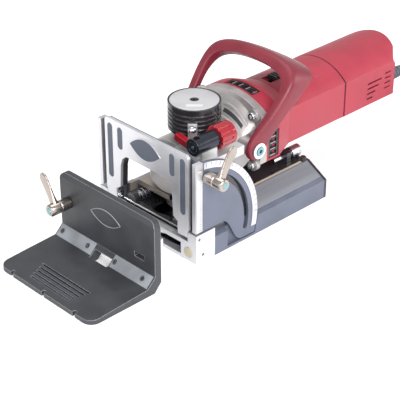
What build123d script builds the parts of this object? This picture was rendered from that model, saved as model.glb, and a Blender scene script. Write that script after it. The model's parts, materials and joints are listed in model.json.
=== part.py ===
from build123d import *
import math
import os

# Hand-held biscuit joiner, built on a bench: base, swivel fence, plunging motor unit, loose stop square.
# Millimetres. X runs from the working face (0) to the cable end, Y across, +Y on the operator's right,
# Z up from the underside of the base. The origin is under the front edge, in the middle.

# --- driving dimensions -------------------------------------------------------------------------
BASE_W = 140.0
BASE_L = 184.8
HALF = BASE_W / 2
BLOCK_L = 24.8
BLOCK_H = 31.4
BLOCK_IN = 58.0
BEAM_LOW_H = 20.5
BEAM_TOP_Z = 34.7
BEAM_SLOPE_Y = 45.1
BEAM_TOP_IN = 41.0
BEAM_IN = 51.5
BEAM_STEP_Z = 24.0
FRONT_H = 21.0
FRONT_T = 8.0
FLOOR_T = 3.2
PLATE_T = 0.7

BLADE_R = 50.2
BLADE_Z = 10.0
TOOTH_T = 7.0
DISC_T = 3.0
BORE_R = 11.0
SPINDLE_R = 6.0
SHAFT_R = 5.0
SPINDLE_X = 51.0
PLUNGE = 20.0
RUN = 0.05

MOTOR_Z = 80.0
GEAR_R = 24.0
GEAR_IN = 15.5
GEAR_RATIO = 22 / 7
MESH_GAP = 0.15
HINGE_X = 3.5
HINGE_Z = 28.0
FENCE_W = 118.0
FENCE_TOP = 113.1
FENCE_BOTTOM = 25.2
FRAME_T = 3.2
FENCE_T = 9.0
RAIL_IN = 64.5
RAIL_BOTTOM = 34.0
RAIL_OUT = HALF - 0.7
RAIL_TOP = FENCE_TOP - 5.5
INSERT_R = 3.6
QUAD_R = 79.8
QUAD_IN = 66.2
STUD_X = 13.5
STUD_Z = 91.5
SLOT_R = math.hypot(STUD_X - HINGE_X, STUD_Z - HINGE_Z)
STUD_R = 3.0
SUPPORT_R = 76.0
LEVER_REACH = 37.0
LEVER_BOSS = 24.0

GUARD_Z = 17.5
GUARD_T = 2.5
ROD_Y = 33.0
ROD_Z = 26.5
ROD_R = 4.0
CARRIAGE_X = (46.0, 100.0)
BRIDGE_X = (9.0, 15.0)

HEAD_TOP = 92.0
TURRET_X = 64.8
TURRET_R = 26.3
TURRET_Z = (95.0, 129.4)
DRIVE_Y = -39.3
DRIVE_Z = 106.0
DRIVE_FRONT = 24.6
SLEEVE_R = 8.8
KNOB_R = 12.0
PIN_OUT = (-0.735, -0.678, 0)
PIN_Z = 113.0
TAB_R = TURRET_R + 1.9
STOP_Y = -31.0
STOP_Z = 42.0

FLANGE_X = 122.0
SEAM_X = 245.0
BODY_HALF = 39.0
BODY_TOP = 116.5
REAR_SIDE_X = 327.0
REAR_END_X = 345.0
WALL = 3.0
PAD_Z = BODY_TOP - 5
SWITCH_Z = BODY_TOP - 2.4

# Cross-sections of the castings: half width, side from, side to, top, bottom.
NOSE_X = 24.5
BROW_X = 29.5
HEAD_X = 36.0
DOME_X = 92.0
FLANGE_BACK = 113.0
NOSE = (20, 48, 70, 75, 42)
BROW = (27, 46, 74, 78.5, 40)
HEAD = (29, 44, 84, HEAD_TOP, 38)
DOME = (38, 66, 94, 118, 46)
FLANGE = (44.5, 56, 109, 123, 43.5)
BODY = (BODY_HALF, 61, 100, BODY_TOP, 47)
CAVITY = (25.5, 50, 82, HEAD_TOP - 3.5, 46)
MOUTH = (33, 68, 92, 113, 52)
NOSE_R = 18.4
SCREW_Y = 37.0
SCREW_Z = (54.5, 109)

# The bow handle: its foot pivot, the front face's origin and directions, and the plane outlines
# of its outer and inner edge, as (half width, distance up the face).
PIVOT = (101.6, 79.3)
BOW_FRONT = (88.5, 0, 84.7)
BOW_UP = (0.654, 0, 0.757)
BOW_BACK = (0.757, 0, -0.654)
BOW_OUTER = [(54.5, -12), (55.5, 8), (58.8, 33), (61.4, 55), (61, 72), (55, 87), (36, 96), (0, 98.8)]
BOW_INNER = [(45.2, -12), (45.2, 10), (47, 30), (49.4, 48), (50.2, 62), (47, 72.5), (31, 82), (0, 85)]
BOW_DEPTH = 46.0
BOW_STRAIGHT = 12.0
BOW_FLARE = (1.31, 1.18)

SQUARE_REAR = -52.5
SQUARE_FRONT = -138.5
SQUARE_Y = -10.3
SQUARE_SPAN = (SQUARE_Y - 67.7, SQUARE_Y + 67.7)
SQUARE_TOP = 75.5
SQUARE_T = 7.6
SQUARE_SHIFT = (52.3, 10.3, 55.0)
LEVER_FACE = SQUARE_REAR - SQUARE_T
LEVER_Y = 44.8
LEVER_Z = 45.6
JAW_POCKET = (SQUARE_REAR - 4, SQUARE_REAR + 1)

CORD_R = 4.0
CORD_Y = -6.0
CORD_Z = 60.0
RELIEF_L = 45.0
CORD_X0 = REAR_END_X - 6
CORD_EXIT = (CORD_X0 + RELIEF_L, CORD_Y, CORD_Z)
CORD_ROUTE = [CORD_EXIT, (396, -6.3, 59.4), (408, -7.4, 56.2), (419, -8.8, 49.8), (429, -9.6, 42)]
CORD_ROUTE += [(440, -9.4, 34.8), (452, -8, 30.2), (464, -6, 28.4)]
COIL_X = 468.0
COIL_Y = -42.0
COIL_IN = 32.0
COIL_OUT = 64.0
COIL_H = 24.0
PLUG_X = COIL_X - 46
PLUG_Y = COIL_Y - 62
PLUG_R = 13.0
PIN_R = 2.0
PIN_SPACING = 19.0

os.makedirs("parts", exist_ok=True)


# --- helpers ------------------------------------------------------------------------------------
def block(x, y, z):
    """Box from three (low, high) pairs."""
    size = [pair[1] - pair[0] for pair in (x, y, z)]
    return Pos((x[0] + x[1]) / 2, (y[0] + y[1]) / 2, (z[0] + z[1]) / 2) * Box(*size)


def rod_x(x, y, z, r):
    """Cylinder along X between the pair x."""
    return Pos((x[0] + x[1]) / 2, y, z) * Rot(0, 90, 0) * Cylinder(r, x[1] - x[0])


def rod_y(x, y, z, r):
    """Cylinder along Y between the pair y."""
    return Pos(x, (y[0] + y[1]) / 2, z) * Rot(90, 0, 0) * Cylinder(r, y[1] - y[0])


def rod_z(x, y, z, r):
    """Cylinder along Z between the pair z."""
    return Pos(x, y, (z[0] + z[1]) / 2) * Cylinder(r, z[1] - z[0])


def side(pair, sign):
    """The pair mirrored to one side of the tool."""
    return tuple(sorted((sign * pair[0], sign * pair[1])))


def plate_xz(points, y):
    """Prism with an outline of (x, z) points, between the pair y."""
    face = make_face(Plane.XZ * Polyline(*points, close=True))
    return Pos(0, y[0], 0) * extrude(face, y[1] - y[0], dir=(0, 1, 0))


def plate_yz(points, x):
    """Prism with an outline of (y, z) points, between the pair x."""
    face = make_face(Plane.YZ * Polyline(*points, close=True))
    return Pos(x[0], 0, 0) * extrude(face, x[1] - x[0], dir=(1, 0, 0))


def plate_xy(points, z):
    """Prism with an outline of (x, y) points, between the pair z."""
    face = make_face(Polyline(*points, close=True))
    return Pos(0, 0, z[0]) * extrude(face, z[1] - z[0], dir=(0, 0, 1))


def save(name, shape):
    """Write one node; a list becomes a group of separate solids."""
    if isinstance(shape, (list, tuple)):
        shape = Compound(children=list(shape))
    export_step(shape, f"parts/{name}.step")


# --- base ---------------------------------------------------------------------------------------
def base_plate():
    plate = block((FRONT_T, BASE_L - 9), (-BEAM_IN + RUN, BEAM_IN - RUN), (0, FLOOR_T))
    for x in (110, 130, 150):
        plate -= rod_z(x, 0, (-1, FLOOR_T + 1), 6)
    return plate


def base_front():
    frame = block((0, FRONT_T), (-BLOCK_IN, BLOCK_IN), (0, FRONT_H))
    frame -= block((-1, FRONT_T + 1), (-48.5, 48.5), (3.6, 16.4))
    for sign in (1, -1):
        frame -= rod_x((-1, 1.2), sign * 58.6, 9.3, 5.7)
    return frame


def end_block(sign):
    body = block((0, BLOCK_L), side((BLOCK_IN, HALF), sign), (0, BLOCK_H))
    body -= rod_x((-1, 1.2), sign * 58.6, 9.3, 5.7)
    for x, z in ((4.3, 26.3), (9.1, 8.1)):
        body -= rod_y(x, side((HALF - 5, HALF + 1), sign), z, 1.6)
    body -= rod_y(HINGE_X, side((BLOCK_IN - 1, BLOCK_IN + 7), sign), HINGE_Z, 1.5)
    return body


def side_beam(sign):
    outline = [(BEAM_IN, 0), (HALF, 0), (HALF, BEAM_LOW_H), (BEAM_SLOPE_Y, BEAM_TOP_Z)]
    outline += [(BEAM_TOP_IN, BEAM_TOP_Z), (BEAM_TOP_IN, BEAM_STEP_Z), (BEAM_IN, BEAM_STEP_Z)]
    beam = plate_yz([(sign * y, z) for y, z in outline], (BLOCK_L, BASE_L))
    pocket = rod_y(HINGE_X, side((QUAD_IN - 0.6, HALF + 1), sign), HINGE_Z, QUAD_R + 1)
    pocket &= block((42, 90), side((QUAD_IN - 1, HALF + 1), sign), (2.4, 60))
    return beam - pocket


def side_plate(sign):
    """Brushed plate that lies on the sloping facet behind the quadrant."""
    drop = (BEAM_TOP_Z - BEAM_LOW_H) / (HALF - BEAM_SLOPE_Y)
    outline = []
    inner = BEAM_SLOPE_Y + 0.8
    outer = HALF - 5
    for y, lift in ((inner, RUN), (outer, RUN), (outer, RUN + PLATE_T), (inner, RUN + PLATE_T)):
        outline.append((sign * y, BEAM_TOP_Z - (y - BEAM_SLOPE_Y) * drop + lift))
    return plate_yz(outline, (86.5, BASE_L - 2.5))


def blade_guard():
    """Cover over the cutter, with the bridge that carries the front ends of the guide rods."""
    cover = block((FRONT_T + 0.2, 105), (-BEAM_IN + 0.2, BEAM_IN - 0.2), (GUARD_Z, GUARD_Z + GUARD_T))
    cover += block(BRIDGE_X, (-40.5, 40.5), (GUARD_Z + GUARD_T, 24.5))
    for sign in (1, -1):
        cover += rod_x(BRIDGE_X, sign * ROD_Y, ROD_Z, 6.3)
        cover -= rod_x((BRIDGE_X[0] + 2, BRIDGE_X[1] + 1), sign * ROD_Y, ROD_Z, ROD_R + RUN)
    cover -= block((26, SPINDLE_X), (-16, 16), (GUARD_Z - 1, 30))
    cover -= rod_z(SPINDLE_X, 0, (GUARD_Z - 1, 30), 16)
    cover -= rod_z(SPINDLE_X - PLUNGE, 0, (GUARD_Z - 1, GUARD_Z + GUARD_T + 0.1), 15.5)
    cover -= rod_z(SPINDLE_X - PLUNGE, 0, (GUARD_Z + GUARD_T, 25), NOSE_R + 0.5)
    return cover


def base_cover():
    """Dark top plate with the lug that carries the rear stop screw."""
    cover = block((106, 175.8), (-BEAM_TOP_IN + 0.2, BEAM_TOP_IN - 0.2), (BEAM_TOP_Z - 3, BEAM_TOP_Z))
    cover += block((160, 166), (STOP_Y - 7, STOP_Y + 7), (BEAM_TOP_Z, STOP_Z + 6))
    return cover - rod_x((159, 167), STOP_Y, STOP_Z, 3.1)


def base_rear():
    wall = block((176, 184), (-BEAM_IN + 0.2, BEAM_IN - 0.2), (0, BEAM_STEP_Z - 0.2))
    wall += block((176, 184), (-BEAM_TOP_IN + 0.2, BEAM_TOP_IN - 0.2), (BEAM_STEP_Z - 0.2, BEAM_TOP_Z))
    for sign in (1, -1):
        wall -= rod_x((175, 181), sign * ROD_Y, ROD_Z, ROD_R + RUN)
    return wall


def guide_rods():
    return [rod_x((BRIDGE_X[0] + 2.1, 180.9), sign * ROD_Y, ROD_Z, ROD_R) for sign in (1, -1)]


def return_spring(sign):
    """Compression spring on a guide rod, from the bridge to the carriage."""
    length = CARRIAGE_X[0] - BRIDGE_X[1] - 1.6
    coil = Helix(pitch=length / 6, height=length, radius=5.6)
    wire = sweep(Plane(coil @ 0, z_dir=coil % 0) * Circle(0.6), coil)
    return Pos(BRIDGE_X[1] + 0.8, sign * ROD_Y, ROD_Z) * Rot(0, 90, 0) * wire


def grip_pads():
    return [rod_x((-0.6, 1.1), sign * 58.6, 9.3, 5.5) for sign in (1, -1)]


def hinge_pins():
    return [rod_y(HINGE_X, side((50, BLOCK_IN + 6.5), sign), HINGE_Z, 1.45) for sign in (1, -1)]


def clamp_plate():
    """Dark plate behind the quadrant; it stands on the end block and carries the clamp stud."""
    y = (-RAIL_IN - 1, -60)
    plate = block((FENCE_T + 0.7, BLOCK_L + 1), y, (BLOCK_H, 110))
    plate += block((BLOCK_L + 0.1, 84), y, (27, 110))
    plate &= rod_y(HINGE_X, y, HINGE_Z, SUPPORT_R)
    return plate - rod_y(STUD_X, (-67, -59), STUD_Z, STUD_R + RUN)


def clamp_stud():
    stud = rod_y(STUD_X, (-HALF - LEVER_BOSS, -60), STUD_Z, STUD_R)
    socket = Pos(STUD_X, 1 - HALF - LEVER_BOSS, STUD_Z) * Rot(90, 0, 0)
    return stud - socket * extrude(RegularPolygon(1.9, 6), 2.5, both=True)


# --- fence --------------------------------------------------------------------------------------
def window_outline(grow):
    """The arched opening of the fence, grown by a margin, as (y, z) points."""
    top = 79 + grow
    shoulder = 38.3 + grow
    foot = 44.4 + grow
    points = [(foot, 20), (foot, 38), (shoulder, 41.5), (shoulder - 1.5, 66), (shoulder - 4, 74)]
    points += [(shoulder - 10, top)]
    return points + [(-y, z) for y, z in reversed(points)]


def fence_frame():
    half = FENCE_W / 2
    frame = block((0, FRAME_T), (-half, half), (FENCE_BOTTOM, FENCE_TOP))
    frame = fillet(frame.edges().filter_by(Axis.X).group_by(Axis.Z)[-1], 4)
    frame -= plate_yz(window_outline(0), (-1, FRAME_T + 1))
    for sign in (1, -1):
        frame -= block((-1, FRAME_T + 1), side((BLOCK_IN - 0.4, half + 1), sign), (20, BLOCK_H + 1.8))
        frame -= rod_y(HINGE_X, side((49, 60), sign), HINGE_Z, 1.5)
        for y, low, high in ((51.4, 48, 108), (36.8, 84, 108)):
            frame -= slot_cut(sign * y, low, high, INSERT_R + 0.1, (-1, FRAME_T + 1))
    return frame


def slot_cut(y, low, high, r, x):
    """Vertical slot with round ends, through the pair x."""
    cut = block(x, (y - r, y + r), (low + r, high - r))
    return cut + rod_x(x, y, low + r, r) + rod_x(x, y, high - r, r)


def fence_inserts():
    inserts = []
    for sign in (1, -1):
        for y, low, high in ((51.4, 48.1, 107.9), (36.8, 84.1, 107.9)):
            inserts.append(slot_cut(sign * y, low, high, INSERT_R, (0.15, FRAME_T)))
    return inserts


def fence_back():
    """Carrier behind the silver frame, thin at the top to leave room for the height drive."""
    back = block((FRAME_T, FENCE_T), (-54, 54), (FENCE_BOTTOM, FENCE_TOP))
    back += block((FENCE_T - 1.6, FENCE_T), (-RAIL_IN, RAIL_IN), (RAIL_BOTTOM, RAIL_TOP))
    for sign in (1, -1):
        back -= rod_y(HINGE_X, side((49, 60), sign), HINGE_Z, 1.5)
    back -= plate_yz(window_outline(0.6), (FRAME_T - 1, FENCE_T + 1))
    back -= block((FRAME_T + 1.4, FENCE_T + 1), (-54.5, 54.5), (88, FENCE_TOP + 1))
    return back


def fence_rails():
    """Silver rails along both upright sides of the carrier."""
    return [block((0, FENCE_T), side((RAIL_IN, RAIL_OUT), sign), (RAIL_BOTTOM, RAIL_TOP)) for sign in (1, -1)]


def quadrant():
    """Side plate of the fence with the curved clamping slot around the hinge."""
    y = (0.3 - HALF, -QUAD_IN)
    disc = rod_y(HINGE_X, y, HINGE_Z, QUAD_R)
    outline = [(FENCE_T, RAIL_BOTTOM), (37, 33.3), (41, 31), (45.5, 25), (53, 10), (57, 5.6), (62, 4)]
    outline += [(90, 4), (90, 120), (FENCE_T, 120)]
    plate = disc & plate_xz(outline, y)
    return plate - curved_slot(y)


def curved_slot(y):
    """Slot that lets the fence swing past the fixed stud."""
    start = math.degrees(math.atan2(STUD_Z - HINGE_Z, STUD_X - HINGE_X))
    ring = rod_y(HINGE_X, y, HINGE_Z, SLOT_R + 3.2) - rod_y(HINGE_X, y, HINGE_Z, SLOT_R - 3.2)
    wedge = [(0, 0)]
    for step in range(7):
        angle = math.radians(start + 2 - step * 94 / 6)
        wedge.append((120 * math.cos(angle), 120 * math.sin(angle)))
    cut = ring & Pos(HINGE_X, 0, HINGE_Z) * plate_xz(wedge, y)
    for angle in (start + 2, start - 92):
        turn = math.radians(angle)
        cut += rod_y(HINGE_X + SLOT_R * math.cos(turn), y, HINGE_Z + SLOT_R * math.sin(turn), 3.2)
    return cut


def quadrant_scale():
    """Bright scale band that follows the rim of the quadrant."""
    y = (-HALF - 0.25, 0.25 - HALF)
    ring = rod_y(HINGE_X, y, HINGE_Z, QUAD_R - 0.4) - rod_y(HINGE_X, y, HINGE_Z, QUAD_R - 7)
    return ring & block((FENCE_T + 1, 90), y, (12, 120))


def height_scale():
    return block((0.9, 7.6), (-HALF, 0.65 - HALF), (RAIL_BOTTOM + 0.5, 101.5))


def lever(angle):
    """Clamp lever: boss along +Z from the origin, blade leaning from +Y towards +X by the angle."""
    boss = Pos(0, 0, LEVER_BOSS / 2) * Cylinder(5.6, LEVER_BOSS)
    boss = chamfer(boss.edges().group_by(Axis.Z)[-1], 0.8)
    middle = LEVER_BOSS * 0.7
    blade = Pos(0, LEVER_REACH / 2, middle) * Box(11, LEVER_REACH - 12, 3.2)
    blade += Pos(0, LEVER_REACH - 6, middle) * Cylinder(6, 3.2)
    blade += Pos(0, 6, middle) * Box(10.8, 8, 6)
    bore = Pos(0, 0, LEVER_BOSS / 2) * Cylinder(STUD_R + RUN, LEVER_BOSS + 2)
    return Rot(0, 0, -angle) * (boss + blade) - bore


def clamp_lever():
    return Pos(STUD_X, -HALF - 0.3, STUD_Z) * Rot(90, 0, 0) * lever(34)


# --- stop square, loose in front of the tool ------------------------------------------------------
def stop_square():
    """Cast angle with a chamfered outer corner and a flat strip in the inner one."""
    outline = [(SQUARE_FRONT, 0), (SQUARE_REAR - 8.5, 0), (SQUARE_REAR, 9.2), (SQUARE_REAR, SQUARE_TOP)]
    outline += [(SQUARE_REAR - 6, SQUARE_TOP), (SQUARE_REAR - SQUARE_T, 70), (SQUARE_REAR - SQUARE_T, 17.1)]
    outline += [(-69.4, 8), (-110, 6.2), (SQUARE_FRONT, 4.6)]
    body = plate_xz(outline, SQUARE_SPAN) & rounded_envelope()
    body -= block((-72, -50), (-22, 3), (-1, 13))
    body -= block((-62, -50), (-63, -50), (28.5, 34))
    for y in (36.7, -9.6, -54.3):
        body -= block((SQUARE_FRONT - 1, SQUARE_FRONT + 3.5), (y - 1.8, y + 1.8), (-1, 8))
    for step in range(5):
        x = -110 - step * 4.9
        body -= block((x - 1, x + 1), (-43 + step * 1.5, 26 - step * 1.8), (3.4, 9))
    body -= block(JAW_POCKET, (LEVER_Y - 5, SQUARE_SPAN[1] + 1), (LEVER_Z - 6.3, LEVER_Z + 6.3))
    return body + rod_x((LEVER_FACE - LEVER_BOSS - 0.3, LEVER_FACE + 1), LEVER_Y, LEVER_Z, STUD_R)


def rounded_envelope():
    """Envelope that rounds the free corners of both leaves of the square."""
    solid = block((SQUARE_FRONT, SQUARE_REAR), SQUARE_SPAN, (0, SQUARE_TOP))
    solid = fillet(solid.edges().filter_by(Axis.Z).group_by(Axis.X)[0], 11)
    return fillet(solid.edges().filter_by(Axis.X).group_by(Axis.Z)[-1], 8)


def square_hook():
    """Fixed hook on the back of the square; its face slants along the way it slides on."""
    on_fence = [(RUN, -64.4), (7, -63.1), (7, -58.5), (3.6, -59.2), (RUN, -59.9)]
    outline = [(SQUARE_REAR + x, y - SQUARE_SHIFT[1]) for x, y in on_fence]
    return plate_xy(outline, (LEVER_Z - 6, LEVER_Z + 6))


def square_jaw():
    """Sliding jaw that the lever pulls in behind the edge of the fence frame."""
    offset = -SQUARE_SHIFT[1]
    z = (LEVER_Z - 6, LEVER_Z + 6)
    jaw = block((SQUARE_REAR - 3.6, SQUARE_REAR - 0.6), (LEVER_Y + 1, 64.2 + offset), z)
    jaw += block((SQUARE_REAR - 3.6, SQUARE_REAR + 7), (62.4 + offset, 64.2 + offset), z)
    return jaw + block((SQUARE_REAR + 3.8, SQUARE_REAR + 7), (60.6 + offset, 64.2 + offset), z)


def square_lever():
    place = Plane(origin=(LEVER_FACE - 0.3, LEVER_Y, LEVER_Z), x_dir=(0, -1, 0), z_dir=(-1, 0, 0))
    return place.location * lever(-32)


# --- cutter, spindle and drive --------------------------------------------------------------------
def blade():
    disc = rod_z(SPINDLE_X, 0, (BLADE_Z - DISC_T / 2, BLADE_Z + DISC_T / 2), BLADE_R - 4)
    for step in range(6):
        tooth = Pos(BLADE_R - 5, 0, BLADE_Z) * Box(8, 4, TOOTH_T)
        disc += Pos(SPINDLE_X, 0, 0) * Rot(0, 0, step * 60) * tooth
    envelope = rod_z(SPINDLE_X, 0, (0, 20), BLADE_R)
    return (disc & envelope) - rod_z(SPINDLE_X, 0, (0, 20), BORE_R + RUN)


def spindle():
    """Vertical spindle with the cutter's seat, a bearing shoulder and the gear seat."""
    shaft = rod_z(SPINDLE_X, 0, (5.5, 84), SPINDLE_R)
    shaft += rod_z(SPINDLE_X, 0, (BLADE_Z - DISC_T / 2, BLADE_Z + DISC_T / 2), BORE_R)
    shaft += rod_z(SPINDLE_X, 0, (BLADE_Z + DISC_T / 2 + RUN, 21), 14)
    return shaft


def blade_nut():
    nut = rod_z(SPINDLE_X, 0, (4.4, BLADE_Z - DISC_T / 2 - RUN), 14)
    nut -= rod_z(SPINDLE_X, 0, (0, 20), SPINDLE_R + RUN)
    for step in range(2):
        turn = Rot(0, 0, step * 180)
        nut -= Pos(SPINDLE_X, 0, 5) * turn * Pos(10, 0, 0) * Cylinder(1.6, 3)
    return nut


def bevel_gear():
    rise = (GEAR_R - GEAR_IN) / GEAR_RATIO
    low = MOTOR_Z - GEAR_R / GEAR_RATIO - MESH_GAP
    gear = Pos(SPINDLE_X, 0, low + rise / 2) * Cone(GEAR_R, GEAR_IN, rise)
    gear += rod_z(SPINDLE_X, 0, (low - 8, low), GEAR_R)
    return gear - rod_z(SPINDLE_X, 0, (50, 90), SPINDLE_R + RUN)


def motor_shaft():
    """Armature shaft with the bevel pinion on its front end."""
    shaft = rod_x((SPINDLE_X + GEAR_R, 318), 0, MOTOR_Z, SHAFT_R)
    face = GEAR_R - GEAR_IN
    pinion = Cone(GEAR_IN / GEAR_RATIO, GEAR_R / GEAR_RATIO, face)
    pinion = Pos(SPINDLE_X + (GEAR_R + GEAR_IN) / 2, 0, MOTOR_Z) * Rot(0, 90, 0) * pinion
    return shaft + pinion


def armature_core():
    core = rod_x((180, 238), 0, MOTOR_Z, 21) + rod_x((252, 274), 0, MOTOR_Z, 13)
    for step in range(12):
        slot = Pos(209, 0, MOTOR_Z) * Rot(step * 30, 0, 0) * Pos(0, 0, 20) * Box(60, 2, 5)
        core -= slot
    return core - rod_x((170, 290), 0, MOTOR_Z, SHAFT_R + RUN)


def fan():
    hub = rod_x((148, 162), 0, MOTOR_Z, 10) + rod_x((160, 162), 0, MOTOR_Z, 29)
    for step in range(10):
        vane = Pos(155, 0, MOTOR_Z) * Rot(step * 36, 0, 0) * Pos(0, 0, 19) * Box(10.2, 1.4, 20)
        hub += vane
    return hub - rod_x((140, 170), 0, MOTOR_Z, SHAFT_R + RUN)


def stator():
    ring = rod_x((182, 236), 0, MOTOR_Z, 32) - rod_x((181, 237), 0, MOTOR_Z, 22)
    return ring & block((170, 240), (-35, 35), (MOTOR_Z - 27, MOTOR_Z + 29))


def brushes():
    return [block((259, 267), side((13.6, 30), sign), (MOTOR_Z - 4, MOTOR_Z + 4)) for sign in (1, -1)]


def bearings():
    """Spindle bearing in the nose, top bush, and the two armature bearings."""
    rings = []
    for z, outer in (((24, 33), 15), ((77, 84), 9)):
        rings.append(rod_z(SPINDLE_X, 0, z, outer) - rod_z(SPINDLE_X, 0, z, SPINDLE_R + RUN))
    for x in ((124, 133), (306, 314)):
        rings.append(rod_x(x, 0, MOTOR_Z, 14) - rod_x(x, 0, MOTOR_Z, SHAFT_R + RUN))
    return rings


# --- plunging unit: castings and housings -----------------------------------------------------------
def section(x, half, low, high, top, bottom):
    """Cross-section with flat sides and bowed top and bottom, as a face at x."""
    edges = [ThreePointArc((half, high), (0, top), (-half, high)), Line((-half, high), (-half, low))]
    edges += [ThreePointArc((-half, low), (0, bottom), (half, low)), Line((half, low), (half, high))]
    return Plane.YZ.offset(x) * make_face(edges)


def tunnel(x, shape, length):
    """The section at x, drawn out along X."""
    return extrude(section(x, *shape), length, dir=(1, 0, 0))


def shrunk(shape, wall):
    """The same section pulled in by a wall thickness."""
    half, low, high, top, bottom = shape
    return (half - wall, low, high, top - wall, bottom + wall)


def skin(stations, wall):
    """Hollow shell lofted through (x, section) stations."""
    outer = None
    for (x0, first), (x1, second) in zip(stations, stations[1:]):
        piece = loft([section(x0, *first), section(x1, *second)], ruled=True)
        inner = [section(x0, *shrunk(first, wall)), section(x1, *shrunk(second, wall))]
        ring = piece - loft(inner, ruled=True)
        outer = ring if outer is None else outer + ring
    return outer


def carriage():
    """Slide block on the guide rods; it carries the spindle nose and a ledge seen in the window."""
    body = block(CARRIAGE_X, (-40.4, 40.4), (20.8, 36))
    body += block((26, CARRIAGE_X[0] + 2), (-5.3, 40.4), (33.4, 38.9))
    for sign in (1, -1):
        body -= rod_x((40, 110), sign * ROD_Y, ROD_Z, ROD_R + RUN)
    body -= rod_z(SPINDLE_X, 0, (19, 40), 18.5)
    body -= block((40, SPINDLE_X), (-18.5, 18.5), (19, 40))
    return body


def gear_housing():
    """Grey casting: gear head, spindle nose, dome and flange in one piece."""
    head = loft([section(NOSE_X, *NOSE), section(BROW_X, *BROW)], ruled=True)
    head += loft([section(BROW_X, *BROW), section(HEAD_X, *HEAD)], ruled=True)
    head += tunnel(HEAD_X, HEAD, DOME_X - HEAD_X)
    dome = loft([section(DOME_X, *HEAD), section(FLANGE_BACK, *DOME)], ruled=True)
    body = head + dome + tunnel(FLANGE_BACK, FLANGE, FLANGE_X - FLANGE_BACK)
    body += rod_z(SPINDLE_X, 0, (21.6, 45), NOSE_R)
    body += block((76, 100), (-24, 24), (36.05, 46))
    body -= rod_z(SPINDLE_X, 0, (CAVITY[1], 74.4), GEAR_R + 0.6)
    body -= rod_z(SPINDLE_X, 0, (CAVITY[1], 77), GEAR_R - 5)
    body -= tunnel(HEAD_X, CAVITY, DOME_X + 1 - HEAD_X)
    body -= loft([section(DOME_X + 0.5, *CAVITY), section(117, *MOUTH)], ruled=True)
    body -= tunnel(116.9, MOUTH, 6)
    body -= rod_z(SPINDLE_X, 0, (20, 46.5), 15 + RUN)
    body -= rod_z(TURRET_X, 0, (HEAD_TOP - 3, HEAD_TOP + 1), 4)
    for sign in (1, -1):
        body += rod_y(PIVOT[0], side((24, 44.6), sign), PIVOT[1], 9)
        body -= rod_y(PIVOT[0], side((20, 46), sign), PIVOT[1], 3)
        for z in SCREW_Z:
            body += rod_x((109, FLANGE_BACK + 1), sign * SCREW_Y, z, 6.6)
    return body


def gear_screws():
    """Four flange screws with round heads."""
    screws = []
    for sign in (1, -1):
        for z in SCREW_Z:
            head = rod_x((105.2, 108.9), sign * SCREW_Y, z, 4.4)
            head = fillet(head.edges().group_by(Axis.X)[0], 1.2)
            socket = Plane.YZ.offset(105) * Pos(sign * SCREW_Y, z) * RegularPolygon(2.1, 6)
            screws.append(head - extrude(socket, 2.2, dir=(1, 0, 0)))
    return screws


def front_housing():
    stations = [(FLANGE_X + RUN, FLANGE), (140, FLANGE), (160, BODY), (SEAM_X, BODY)]
    shell = skin(stations, WALL)
    for opening in grille_openings(0):
        shell -= opening
    shell -= block((165, 197), (-7, 7), (108, 130))
    shell += block((163, 199), (-9, 9), (PAD_Z, PAD_Z + 2.2)) - block((169, 193), (-3, 3), (105, 130))
    web = tunnel(133.2, shrunk(FLANGE, WALL - 0.2), 3) - rod_x((130, 140), 0, MOTOR_Z, 30)
    return shell + web


def grille_openings(margin):
    """Boxes through the shell where the cooling grilles sit."""
    boxes = [block((124.5 + margin, 137.5 - margin), (-20 + margin, 20 - margin), (116, 135))]
    for sign in (1, -1):
        boxes.append(block((124.5 + margin, 139.5 - margin), side((38, 50), sign), (58 + margin, 88 - margin)))
    return boxes


def vent_grilles():
    """Ribbed grilles that fill the openings of the front housing."""
    wall = skin([(124, shrunk(FLANGE, 0.8)), (140, shrunk(FLANGE, 0.8))], 2)
    grilles = []
    for number, opening in enumerate(grille_openings(0.25)):
        grille = wall & opening
        for step in range(4):
            if number == 0:
                y = -14.1 + step * 9.4
                grille -= block((127.4, 134.6), (y - 3, y + 3), (100, 140))
            else:
                z = 62.8 + step * 6.8
                grille -= block((127.4, 136.6), (-60, 60), (z - 2, z + 2))
        grilles.append(grille)
    return grilles


def plan_envelope(inset):
    """Rear end of the motor cover seen from above: straight sides and a bowed end."""
    half = BODY_HALF + 1 - inset
    side_x = REAR_SIDE_X - inset
    edges = [Line((SEAM_X, -half), (side_x, -half))]
    edges += [ThreePointArc((side_x, -half), (REAR_END_X - inset, 0), (side_x, half))]
    edges += [Line((side_x, half), (SEAM_X, half)), Line((SEAM_X, half), (SEAM_X, -half))]
    return extrude(make_face(edges), 160, dir=(0, 0, 1))


def rear_housing():
    start = SEAM_X + 1.8
    solid = tunnel(start, (BODY_HALF + 0.6, *BODY[1:]), 110) & plan_envelope(0)
    hollow = tunnel(start - 1, shrunk(BODY, WALL), 110) & plan_envelope(WALL)
    shell = solid - hollow
    shell -= scallop()
    for sign in (1, -1):
        for step in range(4):
            z = 86 - step * 5.8
            shell -= block((282.5, 306 - step * 4.7), side((30, 45), sign), (z - 1.1, z + 1.1))
            shell -= block((311, 321), side((30, 45), sign), (z + 2.9, z + 4.7))
    shell -= rod_x((330, 350), CORD_Y, CORD_Z, 8)
    return shell


def scallop():
    """Finger groove across the upper part of the bowed rear end."""
    start = (REAR_SIDE_X + 2, -BODY_HALF - 9)
    end = (REAR_SIDE_X + 2, BODY_HALF + 9)
    path = Pos(0, 0, 103) * ThreePointArc(start, (REAR_END_X + 7.5, 0), end)
    return sweep(Plane(path @ 0, z_dir=path % 0) * Circle(10), path)


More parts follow.
